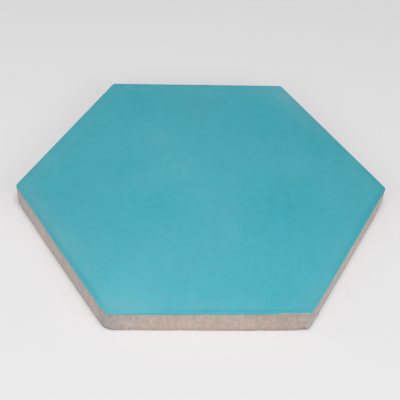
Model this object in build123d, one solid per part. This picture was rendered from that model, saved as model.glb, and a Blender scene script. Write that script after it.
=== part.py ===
from build123d import *
import os

# Hexagon cement tile, pressed as one piece: a coloured wearing face on a plain cement body.
# Frame: origin at the middle of the bed face, +Z out of the wearing face, corners on the X axis,
# flats facing along Y. Millimetres.

# Driving dimensions
across_flats = 200.0  # between opposite edges, the size the tile is sold by
thickness = 16.0  # bed face to wearing face
corner_radius = 3.0  # the six upright corners, rounded in plan as the mould frame leaves them
face_arris_radius = 1.0  # soft shoulder round the wearing face, which the colour runs over
bed_arris_radius = 0.4  # small rounding where the press lets go of the bed face
side_count = 6


def tile_plan():
    """Outline of the tile seen from above: a regular polygon with its corners rounded."""
    outline = RegularPolygon(radius=across_flats / 2, side_count=side_count, major_radius=False)
    return fillet(outline.vertices(), radius=corner_radius)


def hexagon_tile():
    """The plan pressed to its thickness, with a soft shoulder above and a small rounding below."""
    slab = extrude(tile_plan(), amount=thickness)
    wearing_face = slab.faces().sort_by(Axis.Z)[-1]
    slab = fillet(wearing_face.edges(), radius=face_arris_radius)
    bed_face = slab.faces().sort_by(Axis.Z)[0]
    return fillet(bed_face.edges(), radius=bed_arris_radius)


os.makedirs("parts", exist_ok=True)
tile = hexagon_tile()
tile.label = "hexagon_tile"
export_step(tile, "parts/hexagon_tile.step")
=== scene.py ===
import math
from types import SimpleNamespace

import bpy
import numpy as np
from mathutils import Matrix, Vector


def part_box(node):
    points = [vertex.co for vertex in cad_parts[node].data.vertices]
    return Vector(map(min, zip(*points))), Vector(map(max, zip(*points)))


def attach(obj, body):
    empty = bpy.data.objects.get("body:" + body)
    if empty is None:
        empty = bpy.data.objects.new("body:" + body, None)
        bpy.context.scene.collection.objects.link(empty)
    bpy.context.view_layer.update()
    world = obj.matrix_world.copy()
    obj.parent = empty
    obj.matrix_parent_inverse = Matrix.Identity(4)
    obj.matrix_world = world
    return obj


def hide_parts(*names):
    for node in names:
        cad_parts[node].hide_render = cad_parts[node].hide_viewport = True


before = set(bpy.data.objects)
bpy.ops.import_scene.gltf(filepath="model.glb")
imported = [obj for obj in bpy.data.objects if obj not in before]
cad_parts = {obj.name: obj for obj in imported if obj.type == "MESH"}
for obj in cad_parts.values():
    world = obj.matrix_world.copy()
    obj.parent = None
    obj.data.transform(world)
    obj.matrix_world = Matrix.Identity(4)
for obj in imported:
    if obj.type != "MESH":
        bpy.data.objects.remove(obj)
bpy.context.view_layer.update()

# The tile's sizes, in metres. +Z is out of the wearing face, and two of its corners lie on the X axis.
MM = 0.001
TILE = "hexagon_tile"
bed_corner, face_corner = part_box(TILE)
APOTHEM = (face_corner.y - bed_corner.y) / 2  # middle of the tile to the middle of an edge
THICKNESS = face_corner.z - bed_corner.z
CORNER_REACH = APOTHEM / math.cos(math.pi / 6)  # middle of the tile to a corner before rounding
FACE_ARRIS = 1.0 * MM
BED_ARRIS = 0.4 * MM
KEENER_BACK = 0.35 * MM  # how much less the face's arris is rounded along the back

# Corners and edges go anticlockwise seen from above, starting at the corner on +X.
RIGHT, BACK_RIGHT, BACK_LEFT, LEFT, FRONT_LEFT, FRONT_RIGHT = range(6)
CORNER_RADII = np.array([3.0, 3.0, 3.0, 3.2, 6.6, 3.2]) * MM

# Steps of the mesh round the tile and down its side
ARC_STEPS = 16
EDGE_STEPS = 208
SHOULDER_STEPS = 6
SIDE_STEPS = 30
ARRIS_STEPS = 3
# Rings over the two flat sides, rim to middle, as (halvings of the steps round, first inset, last inset,
# rings), the insets in mm
FACE_BANDS = ((0, 1.0, 4.0, 4), (1, 4.0, 10.0, 5), (2, 10.0, 50.0, 18), (3, 50.0, 74.0, 10),
              (4, 74.0, 88.0, 6), (5, 88.0, 96.0, 3))
BED_BANDS = ((0, 0.4, 3.0, 3), (1, 3.0, 8.0, 4), (2, 8.0, 48.0, 12), (3, 48.0, 74.0, 8),
             (4, 74.0, 88.0, 5), (5, 88.0, 96.0, 3))

# Relief of the face and of the bare cement, as (size of the lumps in mm, depth in mm, seed)
FACE_WAVES = ((24, 0.03, 1), (7, 0.012, 2))
CEMENT_GRAIN = ((5, 0.05, 3), (1.9, 0.05, 4), (0.9, 0.05, 5))
PORE_SPACING = 3.0 * MM
PORE_RADII = (0.1 * MM, 0.7 * MM)
PORE_DEPTH = 0.2 * MM
# Knocked lower corners, as (corner, reach of the break along its clockwise edge, along its anticlockwise
# edge and up, roughness of the break, seed), the lengths in mm
KNOCKS = ((FRONT_LEFT, 4.2, 9.0, 7.5, 0.35, 10), (LEFT, 7.0, 9.0, 6.0, 0.25, 12),
          (FRONT_RIGHT, 6.5, 3.2, 3.0, 0.2, 14), (RIGHT, 19.0, 6.0, 8.5, 0.2, 16))
# Pits in the sides, as (corner, distance from it anticlockwise along the edge, height, radius, depth),
# the lengths in mm
PITS = ((FRONT_LEFT, 112.6, 1.8, 1.4, 1.1), (FRONT_RIGHT, 12.6, 1.4, 2.0, 0.15),
        (FRONT_LEFT, 13.5, 1.8, 1.2, 0.5))
# painted shade in a pit's middle, where a pore's is 1
PIT_SHADE = 1.6  # darkness of a pit's middle, where a pore's is 1
# Slurry smears down the sides, as (corner, distance from it anticlockwise along the edge, lowest height,
# highest height, half width, strength), the lengths in mm
SMEARS = ((FRONT_RIGHT, 0.2, 6.0, 16.0, 1.6, 1.0), (FRONT_LEFT, 2.4, 6.0, 8.0, 1.6, 0.65))

# The foot of the side, as (degrees round the tile, lean of the side inwards in mm, crumbling of the lower
# arris in mm, painted shade just above it in percent)
FOOT_KNOTS = ((0, 0.3, 1.2, 4), (30, 0.2, 0.5, 6), (150, 0.2, 0.5, 6), (178, 0.3, 1.2, 8),
              (190, 0.45, 0.8, 10), (197, 0.2, 0.5, 10), (205, 0.05, 0.25, 10), (232, 0.05, 0.2, 14),
              (239, 0.25, 0.7, 10), (248, 0.45, 0.8, 6), (255, 0.2, 0.5, 8), (261, 0.45, 0.5, 10),
              (268, 0.2, 0.5, 10), (283, 0.05, 0.35, 12), (289, 0.25, 0.6, 12), (294, 0.1, 0.7, 10),
              (298, 0.4, 1.0, 8), (304, 0.22, 0.9, 8), (305, 0.03, 0.2, 16), (307, 0.03, 0.2, 16),
              (308, 0.18, 0.9, 8), (335, 0.15, 0.8, 8), (350, 0.2, 1.0, 5))
# The bare cement, as (degrees, tone in percent, share of grey in percent)
BODY_KNOTS = ((0, 102, 40), (90, 99, 33), (160, 99, 40), (180, 96, 58), (186, 100, 60), (197, 106, 45),
              (206, 102, 50), (213, 99, 58), (221, 103, 62), (227, 101, 60), (233, 104, 52), (236, 100, 58),
              (240, 85, 80), (243, 86, 65), (247, 98, 25), (256, 97, 0), (265, 100, 0), (274, 97, 0),
              (283, 96, 0), (291, 88, 0), (298, 87, 5), (302, 105, 82), (318, 109, 88), (326, 107, 68),
              (334, 111, 40), (345, 105, 45))
# Where the colour ends below the face, as (degrees, run over the shoulder in mm)
HEM_KNOTS = ((0, 1.4), (30, 1.3), (150, 1.3), (183, 1.35), (193, 1.2), (200, 1.3), (208, 1.75),
             (214, 1.45), (228, 1.45), (233, 1.35), (237, 0.9), (239, 0.9), (242, 1.4), (249, 2.15),
             (258, 2.0), (266, 1.8), (284, 1.7), (289, 1.4), (293, 0.75), (299, 0.6), (302, 1.0),
             (309, 1.3), (313, 2.2), (317, 2.2), (320, 1.7), (325, 2.0), (330, 2.3), (336, 3.2),
             (340, 2.7), (343, 1.8), (347, 2.3), (352, 2.0), (355, 1.5), (358, 1.9))
# The face's edge, as (degrees, deepening of the colour on its rim in percent, painted shade on its shoulder
# in percent, inset in mm at which the film begins)
EDGE_KNOTS = ((0, 6, 6, 4.4), (12, 1, 4, 1.5), (60, 0, 4, 1.2), (90, 0, 5, 1.5), (150, 0, 4, 1.2),
              (182, 4, 1, 0.8), (195, 9, 0, 0.8), (210, 9, 4, 2.2), (234, 13, 7, 2.8), (242, 1, 16, 1.4),
              (254, 1, 17, 1.4), (264, 8, 14, 2.2), (288, 10, 14, 2.4), (298, 7, 8, 1.2), (312, 1, 1, 0.4),
              (322, 6, 4, 2.4), (346, 8, 3, 4.4))
# Cement film left along the rim of the face, as (degrees, share in percent)
RIM_KNOTS = ((0, 3), (20, 1), (38, 5), (52, 8), (60, 9), (66, 5), (75, 2), (90, 3), (105, 1), (127, 2),
             (150, 1.8), (178, 5), (190, 9), (204, 8), (219, 4.5), (233, 4.5), (240, 8), (249, 6.5),
             (285, 6), (292, 1), (299, 7), (304, 8), (312, 4), (336, 3), (350, 0))
# Pale and deep clouds in the face, as (x, y, radius, film, tone), the first three in mm and the last two
# in percent
# The pale cloud at the front-left corner, (-46, -92), is a painted sheen, lighter in film and in tone.
CLOUDS = ((-25, 42, 12, 4, 3), (-11, 18, 14, 4, 3), (1, -8, 12, 2, 0), (12, -21, 12, 2.2, 0),
          (11, -40, 14, 2.6, 0), (61, 18, 14, 1.6, 1), (-36, 6, 12, 2, 1), (-3, 75, 11, 1, -5),
          (-46, -92, 18, 7, 7), (-40, -64, 32, 3.2, 1), (-78, -50, 20, 3, -2), (0, -72, 36, 2.6, 0),
          (58, 89, 12, 3, 6), (-40, 81, 12, -3, -3), (34, 64, 20, -2.6, 0), (58, 50, 18, -1.4, 0),
          (78, 40, 12, -3, -3), (51, -11, 18, -3.4, -3), (46, -32, 22, -1.6, -3), (44, -86, 16, -1, -4),
          (-50, 16, 11, -1.6, -2), (-32, -17, 16, -1.6, -2), (-84, -14, 24, 0, -4), (-52, -36, 14, -1, -2))
PERCENT = 0.01
FILM_OVERALL = 0.034  # share of cement film over the whole face


def lattice_noise(points, cell, seed):
    """Smooth noise from -1 to 1. Random numbers sit on a cubic lattice, and a point gets the blend of
    its cell's eight corners, weighted by 3t^2 - 2t^3 along each axis."""
    size = 64
    table = np.random.default_rng(seed).uniform(-1, 1, (size, size, size))
    place = points / cell
    base = np.floor(place).astype(int)
    share = place - base
    share = share * share * (3 - 2 * share)
    total = np.zeros(len(points))
    for corner in np.ndindex(2, 2, 2):
        weight = np.prod(np.where(corner, share, 1 - share), axis=1)
        total += weight * table[tuple(((base + corner) % size).T)]
    return total


def rough_depth(points, layers):
    """How far a rough surface lies below a smooth one: depth times (1 + noise), added over its layers."""
    return sum(MM * depth * (1 + lattice_noise(points, MM * cell, seed)) for cell, depth, seed in layers)


def pore_depth(points, cell, radii, seed):
    """Share of its depth, 0 to 1, that a pore has at each point. Every lattice cell holds one pore at a
    random place with a random radius r, a bowl 1 - (d / r)^2 about its middle, and the deepest counts."""
    size = 32
    table = np.random.default_rng(seed).uniform(0, 1, (size, size, size, 4))
    base = np.floor(points / cell).astype(int)
    deepest = np.zeros(len(points))
    for offset in np.ndindex(3, 3, 3):
        near = base + offset - 1
        draw = table[tuple((near % size).T)]
        middle = (near + draw[:, :3]) * cell
        radius = radii[0] + (radii[1] - radii[0]) * draw[:, 3] ** 3
        away = np.linalg.norm(points - middle, axis=1)
        deepest = np.maximum(deepest, 1 - (away / radius) ** 2)
    return deepest


def smooth_step(low, high, value):
    """0 below low, 1 above high and 3t^2 - 2t^3 between them."""
    t = np.clip((value - low) / (high - low), 0, 1)
    return t * t * (3 - 2 * t)


def bell(away, width):
    """exp(-(away / width)^2): 1 in the middle, falling off smoothly."""
    return np.exp(-(away / width) ** 2)


def round_knots(knots, angle):
    """The knots' values at each angle in degrees, one row for each value, straight between the knots."""
    degrees, *columns = np.array(knots, float).T
    return np.array([np.interp(angle, degrees, column, period=360) for column in columns])


def tile_outline():
    """Points and outward normals round the tile. Each corner is an arc of its own radius r that turns 60
    degrees about a centre (apothem - r) / cos 30 out along the corner's direction, and each edge is the
    straight line from one arc's end to the next arc's start."""
    turn = np.radians(60) * np.arange(6)[:, None]
    sweep = turn + np.radians(np.linspace(-30, 30, ARC_STEPS))
    facing = np.stack([np.cos(sweep), np.sin(sweep)], -1)
    reach = (APOTHEM - CORNER_RADII[:, None]) / math.cos(math.pi / 6)
    centres = np.stack([reach * np.cos(turn), reach * np.sin(turn)], -1)
    arcs = centres + CORNER_RADII[:, None, None] * facing
    share = (np.arange(1, EDGE_STEPS + 1) / (EDGE_STEPS + 1))[:, None]
    starts = arcs[:, -1:]
    ends = np.roll(arcs[:, :1], -1, axis=0)
    edges = starts + share * (ends - starts)
    edge_facing = np.broadcast_to(facing[:, -1:], edges.shape)
    points = np.concatenate([arcs, edges], 1).reshape(-1, 2)
    normals = np.concatenate([facing, edge_facing], 1).reshape(-1, 2)
    return points, normals


def flat_rows(bands):
    """Insets and halvings of the rings over a flat side, rim to middle, evenly spaced within each band."""
    insets = np.concatenate([np.linspace(first, last, rings + 1)[1:] for _, first, last, rings in bands])
    halvings = np.concatenate([np.full(rings, halved) for halved, _, _, rings in bands])
    return insets * MM, halvings


def section_rows():
    """The section from the middle of the face over the shoulder, down the side and under to the middle of
    the bed. Each row has its inset from the edge, height, run past the face's rim, halvings, and the
    outward and upward parts of its normal. The shoulder and the bed arris are quarter circles."""
    face_inset, face_halved = (values[::-1] for values in flat_rows(FACE_BANDS))
    bed_inset, bed_halved = flat_rows(BED_BANDS)
    over = np.linspace(0, math.pi / 2, SHOULDER_STEPS + 1)
    under = np.linspace(0, math.pi / 2, ARRIS_STEPS + 1)
    side = np.linspace(THICKNESS - FACE_ARRIS, BED_ARRIS, SIDE_STEPS + 1)[1:-1]
    inset = np.concatenate([face_inset, FACE_ARRIS * (1 - np.sin(over)), 0 * side,
                            BED_ARRIS * (1 - np.cos(under)), bed_inset])
    height = np.concatenate([0 * face_inset + THICKNESS, THICKNESS - FACE_ARRIS * (1 - np.cos(over)), side,
                             BED_ARRIS * (1 - np.sin(under)), 0 * bed_inset])
    out = np.concatenate([0 * face_inset, np.sin(over), 0 * side + 1, np.cos(under), 0 * bed_inset])
    up = np.concatenate([0 * face_inset + 1, np.cos(over), 0 * side, -np.sin(under), 0 * bed_inset - 1])
    steps = np.hypot(np.diff(inset), np.diff(height))
    run = np.concatenate([[0], np.cumsum(steps)])
    run -= run[len(face_inset)]
    halved = np.concatenate([face_halved, np.zeros(len(over) + len(side) + len(under), int), bed_halved])
    return inset, height, run, halved, out, up


def tile_rings():
    """The smooth tile's points as whole arrays, and the number of points in each ring. A ring is the
    outline moved in along its normals up to the rim's radius, and drawn in towards the middle in
    proportion beyond it. Each point has its place, its normal (facing), the outline's normal beside it,
    its column round the outline, inset, height, run past the face's rim and angle in degrees."""
    points, normals = tile_outline()
    columns = np.arange(len(points))
    parts = []
    counts = []
    for inset, height, run, halved, out, up in zip(*section_rows()):
        pick = slice(None, None, 2 ** halved)
        rim = min(inset, FACE_ARRIS if height > THICKNESS / 2 else BED_ARRIS)
        flat = (points[pick] - rim * normals[pick]) * (APOTHEM - inset) / (APOTHEM - rim)
        count = len(flat)
        level = np.full((count, 1), height)
        facing = np.concatenate([out * normals[pick], np.full((count, 1), up)], 1)
        plain = np.broadcast_to([inset, height, run], (count, 3))
        parts.append(np.concatenate([flat, level, facing, normals[pick], columns[pick, None], plain], 1))
        counts.append(count)
    face_middle = [0, 0, THICKNESS, 0, 0, 1, 0, 0, 0, APOTHEM, THICKNESS, -APOTHEM]
    bed_middle = [0, 0, 0, 0, 0, -1, 0, 0, 0, APOTHEM, 0, 2 * APOTHEM + THICKNESS]
    table = np.concatenate(parts + [[face_middle], [bed_middle]])
    inset, height, run = table[:, 9:12].T
    rings = SimpleNamespace(places=table[:, 0:3], facing=table[:, 3:6], outline_facing=table[:, 6:8],
                            column=table[:, 8].astype(int), inset=inset, height=height, run=run,
                            angle=np.degrees(np.arctan2(table[:, 1], table[:, 0])) % 360)
    return rings, np.array(counts)


def ring_faces(counts):
    """Quads between rings with the same number of points, three triangles for each point of the smaller
    ring where the number doubles or halves, and a fan of triangles at each middle, all facing outwards."""
    starts = np.concatenate([[0], np.cumsum(counts)])
    quads = []
    triangles = []
    for upper, lower, n, m in zip(starts[:-2], starts[1:-1], counts[:-1], counts[1:]):
        i = np.arange(min(n, m))
        j = (i + 1) % len(i)
        if n == m:
            quads.append(np.stack([upper + i, lower + i, lower + j, upper + j], 1))
            continue
        if m > n:
            first, middle, last = lower + 2 * i, lower + 2 * i + 1, lower + 2 * j
            fan = [(upper + i, first, middle), (upper + i, middle, upper + j), (upper + j, middle, last)]
        else:
            first, middle, last = upper + 2 * i, upper + 2 * i + 1, upper + 2 * j
            fan = [(first, lower + i, middle), (middle, lower + i, lower + j), (middle, lower + j, last)]
        triangles += [np.stack(sides, 1) for sides in fan]
    top = np.arange(counts[0])
    bottom = starts[-2] + np.arange(counts[-1])
    triangles.append(np.stack([np.full(len(top), starts[-1]), top, np.roll(top, -1)], 1))
    triangles.append(np.stack([bottom, np.full(len(bottom), starts[-1] + 1), np.roll(bottom, -1)], 1))
    return np.concatenate(quads).tolist() + np.concatenate(triangles).tolist()


def corner_place(corner):
    """The corner on the bed before rounding, and the directions from it along its two edges, the clockwise
    one first."""
    angles = np.radians(60) * (corner + np.array([0, -1, 1]))
    spots = CORNER_REACH * np.stack([np.cos(angles), np.sin(angles), 0 * angles], 1)
    along = (spots[1:] - spots[0]) / CORNER_REACH
    return spots[0], along[0], along[1]


def edge_spot(corner, along, height):
    """A point on the side, that far anticlockwise of a corner along its edge and that high."""
    spot, _, edge = corner_place(corner)
    return spot + along * edge + [0, 0, height]


def press_surface(places, rings):
    """Sinks each point against its own normal: by gentle waves on the coloured face, and by grain and pores
    on the bare cement, with a soft change between them below the shoulder. Gives each point's share of a
    pore's depth."""
    bare = smooth_step(1.6 * MM, 2.6 * MM, rings.run)
    pores = bare * pore_depth(rings.places, PORE_SPACING, PORE_RADII, 6)
    waves = rough_depth(rings.places, FACE_WAVES)
    grain = rough_depth(rings.places, CEMENT_GRAIN)
    places -= ((1 - bare) * waves + bare * grain + PORE_DEPTH * pores)[:, None] * rings.facing
    return pores


def sharpen_back(places, rings):
    """Makes the face's arris keener along the back. A quarter circle gets smaller by k when each point
    moves out by k times (1 - the outward part of its normal) and up by k times (1 - the upward part).
    Beyond the arris the points only slide along the face and the side. k fades out there, and towards
    the front."""
    fade = 6 * MM
    keen = KEENER_BACK * smooth_step(-0.3, 0.3, rings.outline_facing[:, 1])
    keen *= 1 - smooth_step(FACE_ARRIS, fade, rings.inset)
    keen *= smooth_step(THICKNESS - fade, THICKNESS - FACE_ARRIS, rings.height)
    outward = np.hypot(rings.facing[:, 0], rings.facing[:, 1])
    places[:, :2] += (keen * (1 - outward))[:, None] * rings.outline_facing
    places[:, 2] += keen * (1 - rings.facing[:, 2])


def wear_foot(places, rings):
    """Leans the side in and crumbles its lower arris. The lean grows evenly from the face down to the bed
    and fades out over the bed's rim. The arris is broken off at 45 degrees where inset + height is less
    than a depth that wanders round the tile. Gives that depth and how far each point broke back."""
    lean, crumble, _ = round_knots(FOOT_KNOTS, rings.angle)
    lean *= MM * (1 - rings.height / THICKNESS) * (1 - smooth_step(0, 8 * MM, rings.inset))
    places[:, :2] -= lean[:, None] * rings.outline_facing
    outline, _ = tile_outline()
    rim = np.pad(outline, ((0, 0), (0, 1)))
    wander = 1 + 0.45 * lattice_noise(rim, 6 * MM, 7) + 0.45 * lattice_noise(rim, 2.1 * MM, 8)
    crumble *= MM * wander[rings.column]
    bite = np.clip(crumble - rings.inset - rings.height, 0, None) / 2
    places[:, :2] -= bite[:, None] * rings.outline_facing
    places[:, 2] += bite
    return crumble, bite


def knock_off(places, corner, clockwise, anticlockwise, up, rough, seed):
    """Knocks a lower corner off. The break is the plane through a point on each of the two edges and one up
    the corner, at these distances from it, made uneven by noise; points beyond it drop back onto it.
    Gives how far each point moved."""
    spot, edge_a, edge_b = corner_place(corner)
    one, two, three = spot + clockwise * edge_a, spot + anticlockwise * edge_b, spot + [0, 0, up]
    facing = np.cross(two - one, three - one)
    facing /= np.linalg.norm(facing)
    facing *= np.sign(facing @ (spot - one))
    uneven = lattice_noise(places, 1.6 * MM, seed) + 0.5 * lattice_noise(places, 0.7 * MM, seed + 1)
    beyond = np.clip((places - one) @ facing + rough * (uneven - 1), 0, None)
    places -= beyond[:, None] * facing
    return beyond


def sink_pit(places, facing, middle, radius, depth):
    """Sinks a pit against the surface's own normal: depth times (1 - (d / radius)^2)^2 within its radius.
    Gives its share of depth at each point."""
    away = np.linalg.norm(places - middle, axis=1) / radius
    share = np.clip(1 - away ** 2, 0, None) ** 2
    places -= (depth * share)[:, None] * facing
    return share


def slurry_share(rings):
    """Share of slurry on the sides: the stronger of the smears, each a bell about an upright line on an
    edge that fades out 2 mm past its lowest and highest heights."""
    fade = 2 * MM
    slurry = 0 * rings.run
    for corner, along, low, high, width, strength in SMEARS:
        spot = edge_spot(corner, along * MM, 0)
        smear = strength * bell(np.linalg.norm(rings.places[:, :2] - spot[:2], axis=1), width * MM)
        smear *= smooth_step(low * MM - fade, low * MM, rings.height)
        smear *= 1 - smooth_step(high * MM, high * MM + fade, rings.height)
        slurry = np.maximum(slurry, smear)
    return slurry


def face_values(rings):
    """What the face's finish reads. hem is the run at which the colour stops: its knots plus noise. haze
    is the share of pale film with a painted sheen in it: an even part that halves outside the film's
    start, a band along the rim, noise, and a bell for each cloud, the pale one at the front-left corner
    being a painted sheen. tone multiplies the colour: a quadratic in x and y counted in apothems,
    darker towards the back and both ends and lighter towards the front, partly the pigment's own tone
    and partly painted light, a bell for each cloud, and a deepening of the pigment that sets in along
    the rim and passes to painted shade over the shoulder."""
    hem = MM * (round_knots(HEM_KNOTS, rings.angle)[0] + 0.16 * lattice_noise(rings.places, 6 * MM, 20))
    rim_deepening, shoulder_painted_shade, film_start = round_knots(EDGE_KNOTS, rings.angle)
    past_start = smooth_step(-1.2, 1.2, rings.inset / MM - film_start)
    rim_band = past_start * bell(np.clip(rings.inset - 4.5 * MM, 0, None), 6.5 * MM)
    haze_and_sheen = FILM_OVERALL * (0.5 + 0.5 * past_start)
    haze_and_sheen += PERCENT * rim_band * round_knots(RIM_KNOTS, rings.angle)[0]
    haze_and_sheen += 0.006 * lattice_noise(rings.places, 16 * MM, 21)
    haze_and_sheen += 0.004 * lattice_noise(rings.places, 7 * MM, 22)
    x, y = rings.places[:, :2].T / APOTHEM
    # lighter towards the front and darker towards the back: partly the pigment's own tone and partly
    # painted light
    tone = 1.047 - 0.105 * y + 0.018 * y ** 2 - 0.015 * x - 0.067 * x ** 2
    for spot_x, spot_y, radius, film, depth in CLOUDS:
        away = np.hypot(rings.places[:, 0] - spot_x * MM, rings.places[:, 1] - spot_y * MM)
        cloud = PERCENT * bell(away, radius * MM)
        haze_and_sheen += film * cloud
        tone += depth * cloud
    # deeper pigment along the rim, then painted shade over the shoulder, which the front lights would show
    # brighter
    deepening = rim_deepening * smooth_step(-3.0 * MM, -1.2 * MM, rings.run)
    deepening += (shoulder_painted_shade - rim_deepening) * smooth_step(-0.4 * MM, 0.9 * MM, rings.run)
    tone *= 1 - PERCENT * deepening
    return {"hem": hem, "haze_and_sheen": np.clip(haze_and_sheen, 0, None), "tone": tone}


def cement_values(rings, crumble):
    """What the bare cement's finish reads. grey is its share of grey. body multiplies its colour: its
    knots, falling off in two steps towards the shoulder, the first darker towards the top and the second
    painted shade on the shoulder, which the top light would show brighter, and painted shade in a bell
    of height at the top of the crumbled arris."""
    body, grey = PERCENT * round_knots(BODY_KNOTS, rings.angle)
    foot_painted_shade = PERCENT * round_knots(FOOT_KNOTS, rings.angle)[2]
    # darker towards the top, then painted shade on the rounded shoulder, where the top light falls
    upper = 0.05 * smooth_step(10 * MM, 15 * MM, rings.height)
    upper += 0.09 * smooth_step(14.4 * MM, 15.3 * MM, rings.height)
    # painted shade along the foot, in a bell of height at the top of the crumbled arris
    body *= (1 - upper) * (1 - foot_painted_shade * bell(rings.height - crumble, 1.8 * MM))
    return {"body": body, "grey": grey}


def tile_relief(rings):
    """Works the smooth rings into the pressed tile, one step after the other. Gives its places, and the
    values that its finish reads at each point."""
    places = rings.places.copy()
    pore_and_pit_shade = press_surface(places, rings)
    sharpen_back(places, rings)
    crumble, bite = wear_foot(places, rings)
    broken = 0 * bite
    for corner, clockwise, anticlockwise, up, rough, seed in KNOCKS:
        broken += knock_off(places, corner, clockwise * MM, anticlockwise * MM, up * MM, rough * MM, seed)
    for corner, along, height, radius, depth in PITS:
        middle = edge_spot(corner, along * MM, height * MM)
        share = sink_pit(places, rings.facing, middle, radius * MM, depth * MM)
        pore_and_pit_shade = np.maximum(pore_and_pit_shade, PIT_SHADE * share)
    places[:, 2] = np.clip(places[:, 2], 0, THICKNESS)
    # the pores' and pits' depths and the crumbled foot mark where painted shade goes
    values = {"run": rings.run, "dent_shade": pore_and_pit_shade, "slurry": slurry_share(rings),
              "crumb_shade": np.clip(bite / (0.15 * MM), 0, 1), "broken": np.clip(broken / (0.6 * MM), 0, 1)}
    return places, values | face_values(rings) | cement_values(rings, crumble)


def make_tile():
    """The whole tile as one closed mesh, with the values that its finish reads kept on its points."""
    rings, counts = tile_rings()
    places, values = tile_relief(rings)
    mesh = bpy.data.meshes.new("pressed_tile")
    mesh.from_pydata(places.tolist(), [], ring_faces(counts))
    for name, numbers in values.items():
        mesh.attributes.new(name, "FLOAT", "POINT").data.foreach_set("value", numbers.astype(np.float32))
    mesh.polygons.foreach_set("use_smooth", np.ones(len(mesh.polygons), bool))
    mesh.update()
    tile = bpy.data.objects.new("pressed_tile", mesh)
    bpy.context.scene.collection.objects.link(tile)
    return tile


def put(tree, kind, sockets=None, **settings):
    """Adds a shader node. settings are its own options, and sockets maps an input's name or number to a
    plain value or to the output that feeds it."""
    node = tree.nodes.new("ShaderNode" + kind)
    for name, value in settings.items():
        setattr(node, name, value)
    for key, value in (sockets or {}).items():
        if isinstance(value, bpy.types.NodeSocket):
            tree.links.new(value, node.inputs[key])
        else:
            node.inputs[key].default_value = value
    return node


def noise(tree, size, detail=2.0, roughness=0.5, stretch=1.0):
    """Noise from about 0 to 1 whose lumps are about that size, and stretch times as tall, on the tile's own
    coordinates."""
    place = put(tree, "TexCoord").outputs["Object"]
    place = put(tree, "Mapping", {"Vector": place, "Scale": (1, 1, 1 / stretch)}).outputs["Vector"]
    sockets = {"Vector": place, "Scale": 1 / size, "Detail": detail, "Roughness": roughness}
    return put(tree, "TexNoise", sockets).outputs["Fac"]


def value_of(tree, name):
    """A value kept on the tile's points."""
    return put(tree, "Attribute", attribute_name=name).outputs["Fac"]


def combine(tree, operation, first, second):
    """Two numbers put together by a named operation."""
    return put(tree, "Math", {0: first, 1: second}, operation=operation).outputs[0]


def ramp(tree, value, low, high, to_low=0.0, to_high=1.0):
    """value carried smoothly from low..high to to_low..to_high, and held at the ends."""
    sockets = {"Value": value, "From Min": low, "From Max": high, "To Min": to_low, "To Max": to_high}
    return put(tree, "MapRange", sockets, interpolation_type="SMOOTHSTEP").outputs["Result"]


def cover(tree, share, under, over):
    """The colour over laid on the colour under by share."""
    return put(tree, "Mix", {0: share, 6: under, 7: over}, data_type="RGBA", blend_type="MIX").outputs[2]


def scale_colour(tree, colour, tone):
    """A colour times a number."""
    return put(tree, "VectorMath", {0: colour, "Scale": tone}, operation="SCALE").outputs[0]


PIGMENT = (0.048, 0.424, 0.507, 1)
PIGMENT_DEEP = (0.046, 0.413, 0.496, 1)
# The pale film's colour, which also paints the sheen at the face's front-left corner
FILM_AND_SHEEN = (0.47, 0.46, 0.44, 1)
CEMENT = (0.600, 0.487, 0.421, 1)
CEMENT_GREY = (0.515, 0.485, 0.462, 1)
# painted shade for the pores, pits and crumbled foot
CEMENT_SHADE = (0.180, 0.145, 0.125, 1)
SLURRY = (0.440, 0.500, 0.485, 1)
CEMENT_ROUGHNESS = 0.92


def pigment_finish(tree):
    """Colour of the wearing face: turquoise with faint deeper mottling, its tone holding painted light
    towards the front and painted shade on the shoulder, under a thin pale cement film with a painted sheen
    at the front-left corner.
    """
    mottle = ramp(tree, noise(tree, 14 * MM, 3), 0.3, 0.7)
    blotches = ramp(tree, noise(tree, 5 * MM, 4, 0.6), 0.25, 0.75, 0.965, 1.035)
    tone = combine(tree, "MULTIPLY", value_of(tree, "tone"), blotches)
    colour = scale_colour(tree, cover(tree, mottle, PIGMENT, PIGMENT_DEEP), tone)
    wisps = ramp(tree, noise(tree, 7 * MM, 4, 0.65), 0.25, 0.75, 0.75, 1.25)
    specks = ramp(tree, noise(tree, 1.1 * MM, 2), 0.25, 0.75, -0.008, 0.008)
    # this film share also carries the painted sheen at the front-left corner
    film = combine(tree, "ADD", combine(tree, "MULTIPLY", value_of(tree, "haze_and_sheen"), wisps), specks)
    return cover(tree, film, colour, FILM_AND_SHEEN)


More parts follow.
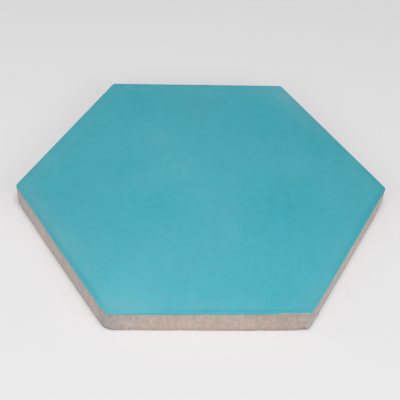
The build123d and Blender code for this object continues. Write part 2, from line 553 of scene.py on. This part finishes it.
def cement_finish(tree):
    """Colour of the bare cement: sandy beige that turns grey in places and where a corner is broken,
    smeared with slurry, with soft upright streaks, lumps and sand, and painted shade along the crumbled
    arris and in the pores and pits."""
    patches = ramp(tree, noise(tree, 9 * MM, 3), 0.3, 0.7, -0.2, 0.2)
    colour = cover(tree, combine(tree, "ADD", value_of(tree, "grey"), patches), CEMENT, CEMENT_GREY)
    broken = combine(tree, "MULTIPLY", value_of(tree, "broken"), 0.5)
    colour = cover(tree, broken, colour, CEMENT_GREY)
    patchy = ramp(tree, noise(tree, 2 * MM, 2), 0.3, 0.65, 0.4, 1.0)
    colour = cover(tree, combine(tree, "MULTIPLY", value_of(tree, "slurry"), patchy), colour, SLURRY)
    streaks = ramp(tree, noise(tree, 2.2 * MM, 2, stretch=4), 0.25, 0.75, 0.92, 1.08)
    lumps = ramp(tree, noise(tree, 3.0 * MM, 3, 0.6), 0.25, 0.75, 0.94, 1.06)
    sand = ramp(tree, noise(tree, 0.7 * MM, 2, 0.6), 0.25, 0.75, 0.88, 1.12)
    # body holds painted shade on the shoulder and along the foot
    tone = value_of(tree, "body")
    for marks in (streaks, lumps, sand):
        tone = combine(tree, "MULTIPLY", tone, marks)
    colour = scale_colour(tree, colour, tone)
    # painted shade along the crumbled foot and in the pores and pits
    crumbled = combine(tree, "MULTIPLY", value_of(tree, "crumb_shade"), 0.35)
    colour = cover(tree, crumbled, colour, CEMENT_SHADE)
    painted_pore_and_pit_shade = ramp(tree, value_of(tree, "dent_shade"), 0.05, PIT_SHADE, 0, 0.85)
    return cover(tree, painted_pore_and_pit_shade, colour, CEMENT_SHADE)


def tile_finish():
    """One finish for the pressed tile: the wearing face's colour runs over the shoulder and stops at a
    frayed hem, and bare cement goes on below it, rougher and sandier than the face."""
    material = bpy.data.materials.new("turquoise_cement")
    material.use_nodes = True
    tree = material.node_tree
    shader = tree.nodes["Principled BSDF"]
    fray = ramp(tree, noise(tree, 1.4 * MM, 3, 0.6), 0.2, 0.8, -0.22 * MM, 0.22 * MM)
    past_hem = combine(tree, "SUBTRACT", value_of(tree, "run"), value_of(tree, "hem"))
    bare = ramp(tree, combine(tree, "ADD", past_hem, fray), -0.12 * MM, 0.12 * MM)
    colour = cover(tree, bare, pigment_finish(tree), cement_finish(tree))
    tree.links.new(colour, shader.inputs["Base Color"])
    face_roughness = ramp(tree, noise(tree, 8 * MM, 3), 0.3, 0.7, 0.50, 0.58)
    roughness = put(tree, "Mix", {0: bare, 2: face_roughness, 3: CEMENT_ROUGHNESS}, data_type="FLOAT")
    tree.links.new(roughness.outputs[0], shader.inputs["Roughness"])
    shader.inputs["IOR"].default_value = 1.45
    sandiness = ramp(tree, bare, 0, 1, 0.08, 1.0)
    sand = combine(tree, "MULTIPLY", noise(tree, 0.45 * MM, 3, 0.6), sandiness)
    bump = put(tree, "Bump", {"Height": sand, "Strength": 0.6, "Distance": 0.12 * MM})
    tree.links.new(bump.outputs["Normal"], shader.inputs["Normal"])
    return material


FLOOR_REACH = 4.0  # metres from the middle to each side
FLOOR_COLOUR = (0.86, 0.855, 0.862, 1)


def make_floor():
    """A wide flat pale sheet under the tile."""
    across = np.array([[-1, -1, 0], [1, -1, 0], [1, 1, 0], [-1, 1, 0]]) * FLOOR_REACH
    mesh = bpy.data.meshes.new("floor")
    mesh.from_pydata(across.tolist(), [], [(0, 1, 2, 3)])
    floor = bpy.data.objects.new("floor", mesh)
    bpy.context.scene.collection.objects.link(floor)
    material = bpy.data.materials.new("pale_floor")
    material.use_nodes = True
    shader = material.node_tree.nodes["Principled BSDF"]
    shader.inputs["Base Color"].default_value = FLOOR_COLOUR
    shader.inputs["Roughness"].default_value = 0.9
    shader.inputs["Specular IOR Level"].default_value = 0.1
    floor.data.materials.append(material)


# Studio lights, as (name, place, width, depth, watts), the lengths in metres
SOFTBOXES = (("top_box", (0.02, -0.35, 1.36), 0.6, 0.6, 8.8),
             ("front_left_box", (-0.66, -0.9, 0.66), 0.8, 0.6, 2.15),
             ("front_right_box", (0.66, -0.9, 0.66), 0.8, 0.6, 3.1),
             ("left_box", (-0.5, 0.0, 0.45), 0.3, 0.3, 0.18))
ROOM_COLOUR = (1.0, 0.99, 1.0, 1)
ROOM_STRENGTH = 0.33


def light_studio():
    """Soft light: rectangular boxes that face the tile, and an even pale room."""
    world = bpy.data.worlds.new("pale_room")
    world.use_nodes = True
    background = world.node_tree.nodes["Background"]
    background.inputs["Color"].default_value = ROOM_COLOUR
    background.inputs["Strength"].default_value = ROOM_STRENGTH
    bpy.context.scene.world = world
    for name, place, width, depth, watts in SOFTBOXES:
        lamp = bpy.data.lights.new(name, "AREA")
        lamp.shape = "RECTANGLE"
        lamp.size = width
        lamp.size_y = depth
        lamp.energy = watts
        box = bpy.data.objects.new(name, lamp)
        box.location = place
        box.rotation_euler = (-Vector(place)).to_track_quat("-Z", "Y").to_euler()
        bpy.context.scene.collection.objects.link(box)
    bpy.context.scene.view_settings.view_transform = "Standard"


# The camera stands where the photograph was taken from: degrees, metres, and pixels of the 400 px frame
CAMERA_ELEVATION = 45.359
CAMERA_AZIMUTH = -4.463
CAMERA_ROLL = 3.608
CAMERA_DISTANCE = 0.6612
CAMERA_TARGET = Vector((-0.00076, 0.00404, 0))
FRAME_PIXELS = 400
FOCAL_PIXELS = 1041.1


def place_camera():
    """The camera looks at its target along a line of its azimuth and elevation, then rolls about it."""
    elevation = math.radians(CAMERA_ELEVATION)
    azimuth = math.radians(CAMERA_AZIMUTH)
    level = math.cos(elevation)
    back = Vector((math.sin(azimuth) * level, -math.cos(azimuth) * level, math.sin(elevation)))
    right = Vector((0, 0, 1)).cross(back).normalized()
    right = Matrix.Rotation(math.radians(CAMERA_ROLL), 3, back) @ right
    up = back.cross(right)
    view = bpy.data.cameras.new("camera")
    view.lens = view.sensor_width * FOCAL_PIXELS / FRAME_PIXELS
    camera = bpy.data.objects.new("camera", view)
    pose = Matrix((right, up, back)).transposed().to_4x4()
    pose.translation = CAMERA_TARGET + back * CAMERA_DISTANCE
    camera.matrix_world = pose
    bpy.context.scene.collection.objects.link(camera)
    bpy.context.scene.camera = camera


tile = make_tile()
tile.data.materials.append(tile_finish())
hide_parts(TILE)
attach(tile, "root")
make_floor()
light_studio()
place_camera()
